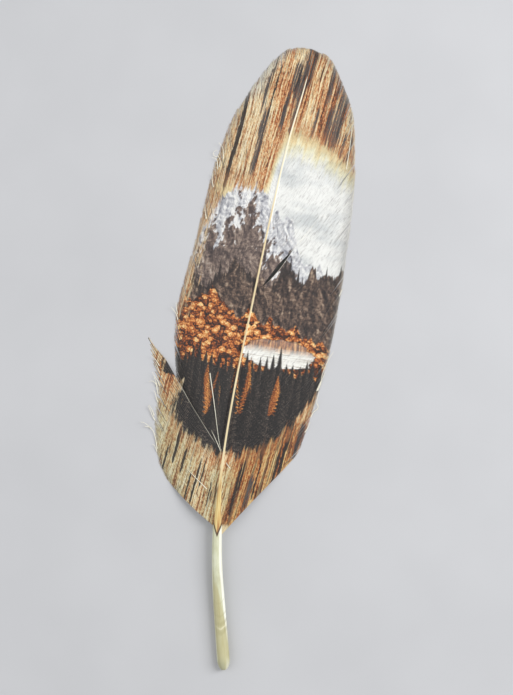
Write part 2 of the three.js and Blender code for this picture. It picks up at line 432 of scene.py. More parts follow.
def landscape(w, x, y, inside):
    """The picture in the middle: a snowy peak, brown ridges, an autumn slope, a pale lake and conifers.
    Inside is the distance in from the picture's edge, in millimetres."""
    sponge = w.noise(x * 1.15, y * 1.15, 24.0, 2.0, 0.7) - 0.5
    mist = w.noise(x * 0.6, y * 0.6, 25.0, 4.0, 0.7) - 0.5
    warp = (w.noise(x * 0.05, y * 0.05, 13.0) - 0.5) * 12
    needles = w.noise(x * 1.6, y * 1.6, 27.0, 3.0) - 0.5
    foliage = w.noise(x * 1.7, y * 1.7, 21.0, 3.0, 0.75)

    mountain, below = snowy_peak(w, x, y, warp, mist, sponge)
    colour = bright_sky(w, x, y, inside).over(below.ease(-0.3, 0.5), mountain)

    brow = BROW_Y + x * 0.12 + w.rises(x * 0.07, 16.0, 5.0, 0.6) * 34
    near = slopes(w, x - warp, y + warp, 0.075, 21.0)
    umber = (near + mist * 0.7 + sponge * 0.35).ramp(
        (0.28, ink(36, 31, 33)), (0.47, ink(72, 59, 54)),
        (0.62, ink(124, 102, 88)), (0.80, ink(188, 168, 146)),
    )
    fringe, _, _ = conifers(w, x, y, needles, brow - 7, 9, 2.3, 71.0, 0.0)
    colour = colour.over((brow - 3 - y).ease(-0.3, 0.6), umber)
    colour = colour.over(fringe * (y - brow + 8).ease(-2, 4), ink(50, 43, 42))

    bank = SLOPE_Y - x * 0.28 + w.rises(x * 0.09, 17.0, 4.0) * 22
    colour = colour.over((bank - y).ease(-0.4, 0.8), autumn_crowns(w, x, y, sponge))
    colour = with_lake(w, x, y, colour)
    for base, tallest, spread, seed, golden in CONIFERS:
        tree, lit, gold = conifers(w, x, y, needles, base, tallest, spread, seed, golden)
        tone = foliage + lit * 0.13 - 0.03
        dark = tone.ramp((0.42, ink(21, 20, 22)), (0.55, ink(41, 37, 36)), (0.70, ink(114, 101, 91)))
        larch = tone.ramp((0.40, ink(82, 42, 24)), (0.52, ink(178, 96, 44)), (0.66, ink(244, 188, 104)))
        colour = colour.over(tree, dark.over(gold, larch))
    return colour


def printed(w):
    """The print's colour at a place on the feather."""
    x, y, _ = (w.node("ShaderNodeTexCoord", output="Object") * 1000.0).parts()
    cos, sin = math.cos(GRAIN_ANGLE), math.sin(GRAIN_ANGLE)
    p, q = x * cos - y * sin, x * sin + y * cos
    past = (x - 8).most(0)
    top = PICTURE_TOP + x.ease(-1, 9) * 31 - past * past * 0.011 - y
    bottom = y - PICTURE_BOTTOM - x * x * 0.0205 - x * 0.05
    left = (p - PICTURE_LEFT + y.ease(18, -2) * 4).least(x + 29 + y.ease(-16, -10) * 20)
    inside = top.least(bottom).least(left)
    fingers = w.noise(p * 0.55, q * 0.05, 9.0, 4.0, 0.6) - 0.5
    inside = inside + fingers * 22 + (w.noise(x * 0.5, y * 0.5, 10.0, 3.0) - 0.5) * 4
    scorch = (1 - abs(inside + 2.5) / 6).ease(0, 1)
    boards = wood(w, p, q).over(scorch * 0.3, ink(176, 116, 70))
    across, up = (x - UNPRINTED[0]) / UNPRINTED[2], (y - UNPRINTED[1]) / UNPRINTED[3]
    unprinted = 1 - across * across - up * up + fingers * 1.5
    boards = boards.over(unprinted.ease(0.0, 0.8) * 0.75, ink(234, 221, 180))
    return boards.over(inside.ease(-1.5, 2.5), landscape(w, x, y, inside))


def attribute(w, name):
    return w.node("ShaderNodeAttribute", {"attribute_name": name}, {}, "Fac")


def coat(name, roughness, sheen, paint):
    """A material whose colour, roughness and relief come from paint(w). The relief's depth is in metres."""
    material = bpy.data.materials.new(name)
    material.use_nodes = True
    material.node_tree.nodes.clear()
    w = Wire(material.node_tree)
    colour, shine, relief, depth = paint(w)
    normal = w.node("ShaderNodeBump", {}, {"Height": relief, "Distance": depth, "Strength": 1.0})
    inputs = {"Base Color": colour, "Roughness": shine + roughness, "Normal": normal, "Sheen Weight": sheen}
    surface = w.node("ShaderNodeBsdfPrincipled", {}, inputs)
    w.node("ShaderNodeOutputMaterial", {}, {"Surface": surface})
    return material


# The y where the print ends in a V on the quill, the painted highlight along its right side narrows and its
# tan wedge starts.
V_TIP, HIGHLIGHT_NARROWS, WEDGE_START = -91.5, -108, -117
# Marks of the old membranes that show through the quill: y, half width, strength, and colour.
MEMBRANES = [
    [-124.0, 0.7, 0.25, ink(168, 160, 118)],
    [-130.5, 0.9, 0.3, ink(166, 159, 118)],
    [-134.4, 1.5, 0.45, ink(162, 155, 114)],
    [-136.4, 0.7, 0.55, ink(232, 227, 198)],
    [-138.6, 1.8, 0.4, ink(160, 154, 112)],
]


def horn_colour(y, across, face, mottle, grain):
    """The bare quill's colour: a tan wedge that widens towards its end, a painted white highlight along its
    right side, the marks of old membranes, and a dull spot and a painted highlight on the end."""
    horn = mottle.ramp((0.35, ink(196, 196, 164)), (0.5, ink(207, 209, 179)), (0.65, ink(215, 217, 192)))
    wedge = ((y - WEDGE_START) * -0.05 - across + (mottle - 0.5) * 0.4).ease(-0.14, 0.14) * y.ease(-111, -118)
    horn = horn.over(wedge * across.ease(-0.97, -0.75) * 0.8, ink(184, 177, 133))
    # Painted highlight: a white band along the quill's right side, on its upper face only, in place of the
    # glint from the light on the right.
    painted_highlight = (across - 0.4 + (y - HIGHLIGHT_NARROWS).least(0) * 0.012).ease(-0.06, 0.14) * y.ease(-148, -128)
    horn = horn.over(painted_highlight * face.ease(-0.2, 0.3) * 0.8, ink(250, 251, 242))
    horn = horn.over(across.ease(-0.86, -0.97) * 0.5, ink(238, 238, 220))
    ring = y - across * across * 2.2 - across * 0.9 + (mottle - 0.5) * 2.5
    shown_through = across.ease(-0.9, 0.3) * 0.7 + 0.3
    for place, width, strength, shade in MEMBRANES:
        horn = horn.over((1 - abs(ring - place) / width).ease(0, 0.8) * shown_through * strength, shade)
    cut = y.ease(-149, -156)
    horn = horn.over(cut * across.ease(0.6, 0.0) * 0.55, ink(164, 166, 142))
    # Painted highlight: a bright spot on the right of the quill's end.
    horn = horn.over(cut * across.ease(0.3, 0.7) * 0.5, ink(238, 240, 228))
    return horn.times(grain.ramp((0.3, ink(236, 231, 218)), (0.5, ink(255, 255, 255))))


def line_colour(y, grain):
    """The bare line along the rachis: golden at its foot and cream above."""
    cream = grain.ramp((0.35, ink(204, 178, 130)), (0.6, ink(236, 222, 182)))
    cream = cream.over(y.ease(60, 100) * 0.7, ink(244, 238, 216))
    gold = grain.ramp((0.38, ink(160, 104, 56)), (0.46, ink(206, 168, 98)), (0.6, ink(226, 208, 142)))
    return cream.over(y.ease(-45, -80).ease(0.0, 0.9) * 0.9, gold)


def paint_shaft(w):
    """Bare horn below, and above it the print on the rachis' shoulders, with a dark rim round its V."""
    x, y, _ = (w.node("ShaderNodeTexCoord", output="Object") * 1000.0).parts()
    across, face, line = attribute(w, "across"), attribute(w, "face"), attribute(w, "line")
    grain = w.noise(across * 3.0, y * 0.05, 60.0, 4.0, 0.6)
    mottle = w.noise(x * 0.35, y * 0.12, 61.0, 4.0, 0.6)
    edge = y - V_TIP - abs(across) * 6.5 + (grain - 0.5) * 2
    covered = edge.ease(-0.35, 0.35) * face.ease(0.0, 0.25)
    beside_line = (abs(across) + (grain - 0.5) * 0.12 - line).ease(-0.06, 0.06)
    shown = line_colour(y, grain).over(beside_line, printed(w))
    rim = (1 - abs(edge - 0.9) / (grain + 1.2)).ease(0, 0.5) * y.ease(-82, -86)
    shown = shown.over(rim * 0.9, UMBER)
    colour = horn_colour(y, across, face, mottle, grain).over(covered, shown)
    return colour, covered * 0.2 + mottle * 0.1, grain, 0.00012


start, end = SHAFT[0][0], SHAFT[-1][0]
ring_y = [start + away for away, _ in QUILL_END]
ring_y += list(np.linspace(ring_y[-1], end, SHAFT_RINGS)[1:]) + [end]
ring_y = np.array(ring_y)
share = np.array([s for _, s in QUILL_END] + [1.0] * (SHAFT_RINGS - 1) + [0.0])
turn = np.arange(SHAFT_SIDES) * 2 * math.pi / SHAFT_SIDES
side, up = np.cos(turn)[None, :], np.sin(turn)[None, :]
half = along(SHAFT, ring_y, 3)[:, None]
grooved = ease(GROOVE_FROM, GROOVE_FULL, ring_y)[:, None]
groove = GROOVE_DEPTH * grooved * np.exp(-((side / GROOVE_WIDTH) ** 2)) * (up < 0)
uneven = 1 + FINE_WAVE * np.sin(ring_y / FINE_PITCH)[:, None] * np.sin(turn * 2)[None, :]
uneven = uneven + LONG_WAVE * np.sin(ring_y / LONG_PITCH + 1)[:, None] * np.cos(turn * 3)[None, :]
lateral = side * half * share[:, None] * uneven
height = (up + groove) * half * share[:, None] * uneven
lean = (along(SHAFT, np.minimum(ring_y + 1, end), 1) - along(SHAFT, ring_y, 1))[:, None]
shaft_points = np.stack(
    [
        along(SHAFT, ring_y, 1)[:, None] + lateral,
        ring_y[:, None] - lateral * lean,
        np.maximum(0, along(SHAFT, ring_y, 2)[:, None] + height),
    ],
    axis=2,
)
rings = len(ring_y)
corner = np.arange(rings * SHAFT_SIDES).reshape(rings, SHAFT_SIDES)
after = np.roll(corner, -1, axis=1)
quads = np.stack([corner[:-1], corner[1:], after[1:], after[:-1]], axis=2).reshape(-1, 4)
shaft_mesh = bpy.data.meshes.new("shaft")
shaft_mesh.from_pydata((shaft_points * MM).reshape(-1, 3).tolist(), [], quads.tolist())
line_share = np.interp(ring_y, [y for y, _ in BARE_LINE], [w for _, w in BARE_LINE])[:, None] / half
values = {
    "across": np.broadcast_to(side, corner.shape),
    "face": np.broadcast_to(up, corner.shape),
    "line": np.broadcast_to(line_share, corner.shape),
}
for name, value in values.items():
    layer = shaft_mesh.attributes.new(name, "FLOAT", "POINT")
    layer.data.foreach_set("value", np.ascontiguousarray(value, np.float32).ravel())


def closed(mesh):
    """Merges the points that meet, such as a pole's, and turns every face outwards."""
    work = bmesh.new()
    work.from_mesh(mesh)
    bmesh.ops.remove_doubles(work, verts=work.verts, dist=1e-7)
    bmesh.ops.recalc_face_normals(work, faces=work.faces)
    work.to_mesh(mesh)
    work.free()


closed(shaft_mesh)
shaft = new_piece("shaft", shaft_mesh, coat("horn_and_print", 0.36, 0.0, paint_shaft))
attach(shaft, "root")
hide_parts("feather")


# The vanes: a few hundred barbs on each side of the rachis. Each is a flat ribbon with a ridge along both
# faces, and it leans on the next one, so that together they are a sheet. Where two neighbours have come
# apart the sheet is split, and at the edges the barbs' tips stand free in small locks.
# Each rib is one barb, in millimetres: the y where it leaves the shaft, the x and y of its tip, and how
# far its middle swings out, as a share of its length. Slit is the end of a panel that borders the slit.
# Pale is how bare the first and the last barb are, and from where to where. Worn is the bare share of each
# tip, rough is how uneven the tips are, and stray is the share of barbs that stand out.
VANES = {
    "vane_right_lower": {
        "side": 1, "locks": 15, "slit": "end", "seed": 1000,
        "pale": [0.0, 1.0, 0.12, 0.36], "worn": 0.0, "rough": 0.006, "stray": 0.03,
        "ribs": [
            [-92.6, 27.9, -56.1, -0.008],
            [-90.2, 31.6, -50.8, 0],
            [-87.4, 34.9, -45.6, 0.01],
            [-83, 37.0, -38.2, 0.025],
            [-76, 39.1, -26.7, 0.04],
            [-62, 42.3, -7.1, 0.05],
            [-48, 44.6, 12.4, 0.05],
            [-28, 45.6, 35.8, 0.04],
            [-2, 46.0, 63.0, 0.025],
            [18, 45.7, 85.1, 0.015],
            [30, 44.5, 99.2, 0.01],
        ],
    },
    "vane_right_upper": {
        "side": 1, "locks": 14, "slit": "start", "seed": 2000,
        "pale": [1.0, 0.0, 0.33, 0.64], "worn": 0.0, "rough": 0.005, "stray": 0.03,
        "ribs": [
            [30.4, 44.4, 99.8, 0.01],
            [54, 40.1, 125.9, 0.03],
            [74, 32.0, 142.9, 0.05],
            [95, 24.4, 154.0, 0.05],
            [115, 19.3, 155.9, 0.04],
            [133, 17.0, 156.9, 0.02],
            [153, 14.7, 157.6, 0.01],
        ],
    },
    "vane_left_lower": {
        "side": -1, "locks": 8, "slit": "", "seed": 3000,
        "pale": [0.0, 0.0, 0.0, 1.0], "worn": 0.03, "rough": 0.02, "stray": 0.1,
        "ribs": [
            [-87, -28.9, -65.8, 0.03],
            [-81, -34.8, -55.5, 0.05],
            [-73, -37.4, -42.7, 0.05],
            [-66, -38.1, -31.7, 0.04],
            [-58, -39.2, -20.2, 0.03],
            [-55, -42.7, -9.1, 0.01],
            [-53, -45.5, 1.6, 0.0],
        ],
    },
    "vane_left_splayed": {
        "side": -1, "locks": 1, "slit": "", "seed": 4000,
        "pale": [0.0, 0.65, 0.14, 0.8], "worn": 0.03, "rough": 0.01, "stray": 0.1,
        "ribs": [
            [-53, -43.6, -1.0, 0.0],
            [-50.6, -37.7, -6.1, 0.01],
        ],
    },
    "vane_left_upper": {
        "side": -1, "locks": 22, "slit": "", "seed": 5000,
        "pale": [0.65, 0.0, 0.14, 0.95], "worn": 0.0, "rough": 0.011, "stray": 0.12,
        "ribs": [
            [-50.8, -30.3, -15.9, 0.01],
            [-46, -32.7, -2.7, 0.03],
            [-42, -34.0, 5.7, 0.04],
            [-38, -34.7, 15.7, 0.05],
            [-18, -33.0, 34.1, 0.05],
            [3, -30.1, 52.7, 0.05],
            [23, -27.9, 75.2, 0.05],
            [44, -24.9, 96.3, 0.05],
            [64, -19.9, 117.6, 0.05],
            [84, -12.5, 133.6, 0.05],
            [102, -5.3, 146.4, 0.04],
            [118, 1.2, 154.4, 0.03],
            [133, 7.5, 157.2, 0.02],
            [153, 14.9, 157.7, 0.01],
        ],
    },
}
ELBOW_HEIGHT = 0.75  # a barb's middle guide point, as a share of its root's height
EDGE_DIP = 0.8  # an edge is aimed this far under the surface, so that its tip lies flat on it
ROOT_LIFT = 0.3  # a barb's root above the shaft's middle, in half widths
GUIDE_STEP = 1.0  # along the shaft, from one guide barb to the next
REST_HEIGHT = 0.22  # the middle of a barb that lies on the surface
LOWEST = 0.03  # no place on a barb is lower than this
SETTLE = 0.6  # the height over which a barb comes to rest on the surface
RIPPLE = 0.9  # how far the sheet rises and falls in broad ripples
FULL_HEIGHT = 1.155  # brings the flat top of a six-sided section up to its radius
# The slit in the right vane: its half width, where it is widest from the shaft to the edge, how fast it
# closes there, how far its sides overlap past it, and how many barbs it pushes together on each side.
SLIT_HALF_WIDTH, SLIT_MIDDLE, SLIT_SPREAD, SLIT_OVERLAP, SLIT_BARBS = 2.4, 0.22, 0.12, 0.4, 13


def guides(vane, ys):
    """Root, elbow and edge of the barbs that leave the shaft at ys, in millimetres."""
    root = np.stack(
        [along(SHAFT, ys, 1), ys, along(SHAFT, ys, 2) + ROOT_LIFT * along(SHAFT, ys, 3)], axis=1
    )
    tip = [along(vane["ribs"], ys, 1), along(vane["ribs"], ys, 2), np.full(len(ys), -EDGE_DIP)]
    edge = np.stack(tip, axis=1)
    chord = edge - root
    swing = vane["side"] * 2 * along(vane["ribs"], ys, 3)
    elbow = (root + edge) / 2
    elbow[:, 0] += chord[:, 1] * swing
    elbow[:, 1] -= chord[:, 0] * swing
    elbow[:, 2] = root[:, 2] * ELBOW_HEIGHT
    return root, elbow, edge


def strand_along(w, barb, t):
    """Fine unevenness that runs along each barb."""
    return w.noise(barb * 300, t * 16, 50.0, 3.0, 0.65)


def paint_barbs(w):
    """The print on the barbs' upper faces. It takes a little better on some barbs than on others."""
    barb, t = attribute(w, "barb"), attribute(w, "t")
    colour, strand = printed(w), strand_along(w, barb, t)
    missed = w.noise(barb * 170, t * 90, 52.0, 2.0, 0.6)
    colour = colour.times(strand.ramp((0.34, ink(212, 210, 210)), (0.5, ink(255, 255, 255))))
    colour = colour.over(missed.ease(0.64, 0.78) * 0.35, ink(222, 214, 196))
    colour = colour.over(attribute(w, "pale") * 0.85, ink(226, 220, 202))
    return colour, strand * 0.2, strand, 0.00004


def paint_underside(w):
    """Undyed barbs, paler and greyer from one to the next."""
    barb, t = attribute(w, "barb"), attribute(w, "t")
    strand = strand_along(w, barb, t)
    undyed = strand.ramp((0.35, ink(186, 172, 146)), (0.6, ink(222, 214, 196)))
    return undyed.over(t.ease(0.75, 0.05) * 0.35, ink(240, 236, 222)), strand * 0.2, strand, 0.00004


printed_barbs = coat("printed_barbs", 0.5, 0.15, paint_barbs)
bare_barbs = coat("bare_barbs", 0.5, 0.15, paint_underside)


def new_tree(name, result, sockets):
    """An empty geometry tree with these inputs: its wires' start, its inputs' wires, and how to end it."""
    tree = bpy.data.node_groups.new(name, "GeometryNodeTree")
    tree.interface.new_socket(result, in_out="OUTPUT", socket_type="NodeSocketGeometry")
    for socket, kind in sockets.items():
        tree.interface.new_socket(socket, in_out="INPUT", socket_type="NodeSocket" + kind)
    given = tree.nodes.new("NodeGroupInput")
    w = Wire(tree)
    w.node("NodeGroupOutput")
    return w, {socket: Wire(tree, given.outputs[socket]) for socket in sockets}


def end_tree(geometry):
    output = next(node for node in geometry.tree.nodes if node.type == "GROUP_OUTPUT")
    geometry.tree.links.new(geometry.socket, output.inputs[0])
    return geometry.tree


def stored(geometry, name, value, kind="FLOAT"):
    settings = {"data_type": kind, "domain": "POINT"}
    inputs = {0: geometry, "Name": name, "Value": value}
    return geometry.node("GeometryNodeStoreNamedAttribute", settings, inputs)


def named(w, name, kind="FLOAT"):
    return w.node("GeometryNodeInputNamedAttribute", {"data_type": kind}, {"Name": name})


def grown(name, start, tree, inputs):
    """The plain mesh that a geometry tree makes from a starting mesh. Inputs go by their names."""
    sprout = bpy.data.objects.new(name, start)
    scene.collection.objects.link(sprout)
    modifier = sprout.modifiers.new(name, "NODES")
    modifier.node_group = tree
    for item in tree.interface.items_tree:
        if item.in_out == "INPUT" and item.name in inputs:
            modifier[item.identifier] = inputs[item.name]
    depsgraph = bpy.context.evaluated_depsgraph_get()
    mesh = bpy.data.meshes.new_from_object(sprout.evaluated_get(depsgraph), depsgraph=depsgraph)
    sprout.modifiers.remove(modifier)
    bpy.data.objects.remove(sprout)
    return mesh


def barb_tree():
    """Turns a line of roots along the shaft, each with its barb's elbow and edge, into the barbs."""
    sockets = {
        "Roots": "Geometry", "Side": "Float", "Barb Spacing": "Float", "Overlap": "Float", "Ridge": "Float",
        "Keel": "Float", "Tip Taper": "Float", "Locks": "Float", "Lock Tooth": "Float", "Parting": "Float",
        "Uneven Tips": "Float", "Stray Share": "Float", "Stray Swing": "Float", "Slit First": "Float",
        "Slit Last": "Float", "Pale First": "Float", "Pale Last": "Float", "Pale From": "Float",
        "Pale To": "Float", "Pale Edge": "Float", "Seed": "Float", "Printed": "Material", "Bare": "Material",
    }
    w, take = new_tree("barbs_on_a_shaft", "Barbs", sockets)
    line = w.node("GeometryNodeMeshToCurve", {}, {0: take["Roots"]})
    inputs = {0: line, "Length": take["Barb Spacing"]}
    roots = w.node("GeometryNodeResampleCurve", {"mode": "LENGTH"}, inputs)
    count = w.node("GeometryNodeAttributeDomainSize", {"component": "CURVE"}, {0: roots}, "Point Count")
    index = w.node("GeometryNodeInputIndex")
    to_last = count - 1 - index
    ahead, behind = (index + 1).least(count - 1), (index - 1).most(0)
    roots = stored(roots, "root", w.node("GeometryNodeInputPosition"), "FLOAT_VECTOR")
    for name in ("root", "elbow", "edge"):
        settings = {"data_type": "FLOAT_VECTOR", "domain": "POINT"}
        value = named(w, name, "FLOAT_VECTOR")
        following = w.node("GeometryNodeFieldAtIndex", settings, {"Index": ahead, "Value": value})
        preceding = w.node("GeometryNodeFieldAtIndex", settings, {"Index": behind, "Value": value})
        roots = stored(roots, name + "_step", (following - preceding) / (ahead - behind), "FLOAT_VECTOR")
    order = index / count * take["Locks"]
    roots = stored(roots, "barb", w.dice(index + take["Seed"]))
    roots = stored(roots, "stray", (w.dice(index + take["Seed"] + 0.5) + take["Stray Share"]).floor())
    roots = stored(roots, "lock_throw", w.dice(order.floor() + take["Seed"] + 0.7))
    roots = stored(roots, "phase", order.rest())
    near_first, near_last = (1 - index / SLIT_BARBS).most(0), (1 - to_last / SLIT_BARBS).most(0)
    roots = stored(roots, "slit", near_first * take["Slit First"] - near_last * take["Slit Last"])
    pale = (take["Pale First"] - index).most(take["Pale Last"] - to_last)
    roots = stored(roots, "pale", pale.most(0).least(1))

    inputs = {"Vertices": 6, "Side Segments": 26, "Radius": 1.0, "Depth": 1.0}
    ribbon = w.node("GeometryNodeMeshCylinder", {"fill_type": "NGON"}, inputs)
    ribbon = stored(ribbon, "section", w.node("GeometryNodeInputPosition"), "FLOAT_VECTOR")
    barbs = w.node("GeometryNodeInstanceOnPoints", {}, {"Points": roots, "Instance": ribbon})
    barbs = w.node("GeometryNodeRealizeInstances", {}, {0: barbs})

    a, b, t = named(w, "section", "FLOAT_VECTOR").parts()
    phase, throw = named(w, "phase"), named(w, "lock_throw")
    barb, stray = named(w, "barb"), named(w, "stray")
    longer = (phase - 0.6 + (throw - 0.7) * 1.3) * take["Lock Tooth"] + (barb - 0.7) * take["Uneven Tips"]
    t = (t + 0.5) * (longer + stray * barb * take["Uneven Tips"] * 1.5 + 1.01)
    s = 1 - t
    root, elbow, edge = [named(w, name, "FLOAT_VECTOR") for name in ("root", "elbow", "edge")]
    steps = [named(w, name + "_step", "FLOAT_VECTOR") for name in ("root", "elbow", "edge")]
    middle = root * (s * s) + elbow * (s * t * 2) + edge * (t * t)
    step = steps[0] * (s * s) + steps[1] * (s * t * 2) + steps[2] * (t * t)
    outwards = w.maths("NORMALIZE", (elbow - root) * s + (edge - elbow) * t)
    beside = step - outwards * w.maths("DOT_PRODUCT", step, outwards, output=1)
    spacing = w.maths("LENGTH", beside, output=1)
    beside = w.maths("NORMALIZE", beside)
    up = w.maths("CROSS_PRODUCT", outwards, beside) * take["Side"]

    narrow = 1 - t.ease(0.86, 1.0) * take["Tip Taper"]
    wide = a * abs(a) * spacing * (take["Overlap"] + 1) * 0.5 * narrow * take["Side"]
    upright = b.most(0) * take["Ridge"] + b.least(0) * take["Keel"]
    tall = upright * FULL_HEIGHT * (1 - t.ease(0.6, 1.0) * 0.5)
    parted = (0.5 - phase) * throw * throw * t.ease(0.7, 1.0) * take["Parting"] * (count / take["Locks"])
    parted = parted + (w.noise(barb * 90, t * 3.0, 6.0, 1.0) - 0.5) * 0.9
    swung = stray * t.ease(0.72, 1.05) * barb * take["Stray Swing"]
    from_slit = (t - SLIT_MIDDLE) / SLIT_SPREAD
    opened = w.maths("EXPONENT", from_slit * from_slit * -1) * SLIT_HALF_WIDTH - SLIT_OVERLAP
    x, y, z = middle.parts()
    ripple = (w.noise(x * 45, y * 45, 5.0, 1.0) - 0.5) * (RIPPLE * MM) * t.ease(0, 0.3)
    inputs = {0: z + ripple, 1: REST_HEIGHT * MM, 2: SETTLE * MM}
    z = w.node("ShaderNodeMath", {"operation": "SMOOTH_MAX"}, inputs)
    middle = w.place(x, y + named(w, "slit") * opened * t.ease(0, 0.12) * MM, z + swung * 0.35)
    x, y, z = (middle + beside * (wide + parted * spacing + swung) + up * (tall + wide * 0.22)).parts()
    position = w.place(x, y, z.most(LOWEST * MM))
    barbs = w.node("GeometryNodeSetPosition", {}, {"Geometry": barbs, "Position": position})
    worn_tip = ((t - 1 + take["Pale Edge"]) / 0.02).most(0).least(1)
    along_split = (t - take["Pale From"]) * (take["Pale To"] - t)
    split_side = named(w, "pale") * (along_split * 60).most(0).least(1)
    barbs = stored(barbs, "pale", worn_tip.most(split_side))
    barbs = stored(barbs, "t", t)
    barbs = w.node("GeometryNodeSetMaterial", {}, {"Geometry": barbs, "Material": take["Printed"]})
    under = w.maths("LESS_THAN", b, -0.1)
    inputs = {"Geometry": barbs, "Selection": under, "Material": take["Bare"]}
    return end_tree(w.node("GeometryNodeSetMaterial", {}, inputs))


barbs_on_a_shaft = barb_tree()
for name, vane in VANES.items():
    low, high = vane["ribs"][0][0], vane["ribs"][-1][0]
    ys = np.linspace(low, high, 2 + int((high - low) / GUIDE_STEP))
    root, elbow, edge = guides(vane, ys)
    line = bpy.data.meshes.new(name)
    line.from_pydata((root * MM).tolist(), [(i, i + 1) for i in range(len(ys) - 1)], [])
    for point, place in (("elbow", elbow), ("edge", edge)):
        layer = line.attributes.new(point, "FLOAT_VECTOR", "POINT")
        layer.data.foreach_set("vector", (place * MM).astype(np.float32).ravel())
    inputs = {
        "Side": float(vane["side"]), "Barb Spacing": 0.45 * MM, "Overlap": 0.3, "Ridge": 0.075 * MM,
        "Keel": 0.12 * MM, "Tip Taper": 0.5, "Locks": float(vane["locks"]), "Lock Tooth": vane["rough"],
        "Parting": vane["rough"] * 8, "Uneven Tips": vane["rough"], "Stray Share": vane["stray"],
        "Stray Swing": 1.6 * MM, "Pale From": vane["pale"][2], "Pale To": vane["pale"][3],
        "Pale Edge": vane["worn"],
        "Slit First": float(vane["slit"] == "start"), "Slit Last": float(vane["slit"] == "end"),
        "Pale First": vane["pale"][0], "Pale Last": vane["pale"][1], "Seed": float(vane["seed"]),
        "Printed": printed_barbs, "Bare": bare_barbs,
    }
    piece = new_piece(name, grown(name, line, barbs_on_a_shaft, inputs))
    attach(piece, "root")
    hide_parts("feather")


# The loose barbs: ones that have come away from the sheet, along its edges and beside its splits. They are
# bare and pale. Some curl up at their tips, and a few long hairs lie on top of the vane.
# Each row is a barb's points, x and y, from its tip to where it joins the vane.
CURLED = [
    [(-25.1, 104.4), (-23, 102.5), (-22.3, 100.2), (-21.9, 96.7)],
    [
        (-25, 100.2), (-26.1, 100.4), (-27, 99.4), (-26.8, 98),
        (-25.7, 97.4), (-24.6, 97.8), (-23.3, 95.8), (-23.2, 92.5),
    ],
    [(-27.4, 96.7), (-25.2, 96.1), (-24.3, 93.8), (-23.9, 91.4)],
    [(-26.1, 89), (-25.9, 85.6), (-24.9, 82.1)],
    [(-27.8, 72.6), (-27.3, 69.6), (-26.2, 65.8)],
    [(-37.5, 19.5), (-36.1, 18), (-34.7, 16.3), (-33.4, 13.4)],
    [(-35.5, 22.2), (-34.9, 19.2), (-34.1, 16.3)],
    [(-43.9, -6), (-41.5, -8.2), (-39.5, -10.7)],
    [(-41.7, -9), (-40.1, -11.8), (-38.7, -14.6)],
    [(-42.5, -14.4), (-41.1, -16.3), (-39.3, -18.4), (-38.1, -20.6)],
    [(-41.5, -16.5), (-40.4, -18.4), (-39.3, -21.1)],
    [(-43.6, -19.1), (-41.8, -18.7), (-40, -20), (-39.2, -22.2), (-38.3, -24.7)],
    [(-40.6, -23.2), (-39.6, -24.6), (-39.2, -26.1), (-38, -28.7)],
    [(-41.7, -30.9), (-42.2, -31.5), (-40.9, -33.6), (-39.5, -36.2), (-38, -38.2)],
    [(-41.7, -30.9), (-40.3, -33), (-38.8, -35.8)],
    [(-44.9, -39.8), (-42.7, -40.2), (-39.7, -42.2), (-37.9, -44), (-36.3, -47.7), (-35, -52.2)],
    [(-42.7, -41.6), (-40.5, -41.9), (-39.3, -42.3)],
    [(-37.5, -50.2), (-36.4, -50.8), (-34.9, -53.5)],
    [(46.9, 40.3), (46.3, 39.7), (45.9, 38.3), (45.2, 36.2)],
    [(46.1, 8.1), (44.7, 4.9), (43.7, 2.2), (42.3, -3.5), (42, -8.5), (41, -12.3)],
    [(43.6, -2.6), (42.6, -5.5), (41.6, -8.6), (40.5, -12.4)],
    [
        (41.7, -12.5), (41.5, -15.2), (41.3, -18.3), (42.2, -19.7),
        (42.1, -21.4), (40.9, -22.6), (40, -24), (39.4, -26.1),
    ],
    [(39.4, -28.2), (39.1, -29.7), (38.6, -31.5), (37.4, -34)],
]
LYING = [
    [(39.1, 129.3), (40.1, 121.8), (40.4, 111.8), (40.2, 100.1)],
    [(-1.7, -51.1), (-4.7, -43.3), (-9.3, -26.2), (-13.7, -10.7)],
    [(-18.6, -59.7), (-13, -64.1), (-7.4, -68.3)],
    [(-1.6, -51.3), (0.2, -53.7), (2.6, -56.3)],
    [(-9.0, -39.0), (-6.0, -43.6), (-3.6, -47.6), (-1.6, -51.0)],
]
CURL_RISE = 1.6  # how far a curled tip stands up
LOOSE_LIFT = 0.35  # how far a loose barb lies above the vane
GUIDE_ROWS, GUIDE_STEPS = 120, 40  # how finely the vanes' surface is sampled for the loose barbs' height


def vane_height(x, y):
    """The height of the vane's middle surface over a place, from the nearest point of the guides."""
    surface = []
    for vane in VANES.values():
        ys = np.linspace(vane["ribs"][0][0], vane["ribs"][-1][0], GUIDE_ROWS)
        root, elbow, edge = guides(vane, ys)
        for t in np.linspace(0, 1, GUIDE_STEPS):
            surface.append(root * (1 - t) ** 2 + elbow * (2 * t * (1 - t)) + edge * t * t)
    surface = np.concatenate(surface)
    nearest = np.argmin((surface[:, 0] - x) ** 2 + (surface[:, 1] - y) ** 2)
    return max(REST_HEIGHT, surface[nearest, 2])


def paint_loose(w):
    barb, t = attribute(w, "barb"), attribute(w, "t")
    tone = w.noise(barb * 300, t * 12, 55.0, 2.0, 0.6)
    return tone.ramp((0.35, ink(220, 213, 188)), (0.6, ink(246, 243, 228))), tone * 0.1, tone, 0.00002


loose_barb = coat("loose_barb", 0.5, 0.15, paint_loose)


